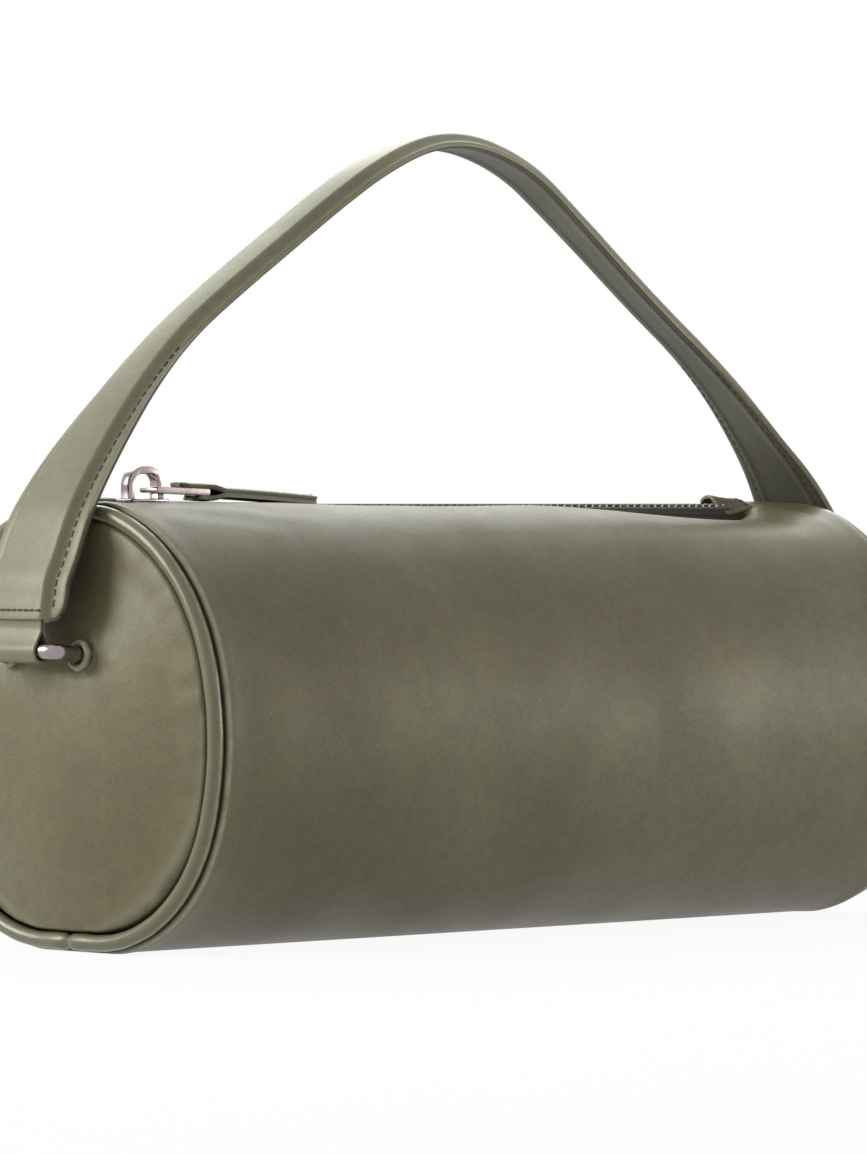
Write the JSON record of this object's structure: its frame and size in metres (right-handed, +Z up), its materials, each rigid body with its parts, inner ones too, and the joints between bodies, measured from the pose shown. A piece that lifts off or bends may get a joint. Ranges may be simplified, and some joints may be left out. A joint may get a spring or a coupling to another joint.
{
  "type": "barrel bag",
  "caption": "Small lined leather barrel bag with domed ends, piping, a zip along the top and a curved strap handle held by a metal staple at each end.",
  "frame": {"origin": "centre of the flat base on the ground", "axes": "+X along the barrel with the closed zip slider at the -X end, -Y is the front, +Z up"},
  "size_m": [0.3472, 0.1308, 0.2421],
  "materials": {
    "wrap_leather": "semi-matt grained",
    "end_leather": "semi-matt grained",
    "piping_leather": "semi-matt",
    "trim_leather": "semi-matt",
    "dark_leather": "matt",
    "stiffening_board": "matt",
    "lining_cloth": "matt",
    "tape_cloth": "matt",
    "padding": "matt",
    "nickel": "polished",
    "plain_steel": "brushed"
  },
  "bodies": {
    "bag": {"barrel_panel": "wrap_leather", "barrel_lining": "lining_cloth", "base_board": "stiffening_board", "end_panel_left": "end_leather", "end_panel_right": "end_leather", "end_board_left": "stiffening_board", "end_board_right": "stiffening_board", "end_lining_left": "lining_cloth", "end_lining_right": "lining_cloth", "piping_left": "piping_leather", "piping_right": "piping_leather", "zip_tape_front": "tape_cloth", "zip_tape_back": "tape_cloth", "zip_teeth_front": "nickel", "zip_teeth_back": "nickel", "zip_top_stops": "nickel", "zip_bottom_stop": "nickel", "zip_end_tab_left": "trim_leather", "zip_end_flap_right": "trim_leather", "staple_left": "nickel", "staple_right": "nickel", "staple_plate_left": "plain_steel", "staple_plate_right": "plain_steel", "staple_screws_left": "plain_steel", "staple_screws_right": "plain_steel", "handle_loop_left": "trim_leather", "handle_loop_right": "trim_leather"},
    "handle": {"handle_strap": "trim_leather", "handle_core": "padding", "handle_lining": "dark_leather"},
    "slider": {"zip_slider": "nickel"},
    "puller": {"pull_link": "nickel", "pull_tab_upper": "trim_leather", "pull_tab_lower": "trim_leather"}
  },
  "joints": [
    {"name": "zip_slide", "type": "slide", "parent": "bag", "child": "slider", "axis": [1, 0, 0], "range_m": [0, 0.174], "deforming": ["zip_teeth_front", "zip_teeth_back"]},
    {"name": "pull_swing", "type": "hinge", "parent": "slider", "child": "puller", "pos_m": [-0.1193, 0, 0.13386], "axis": [0, -1, 0], "range_deg": [0, 52]},
    {"name": "handle_swing", "type": "hinge", "parent": "bag", "child": "handle", "pos_m": [0, 0, 0.1005], "axis": [1, 0, 0], "range_deg": [-16, 16], "stiffness_Nm_per_rad": 0.15}
  ]
}
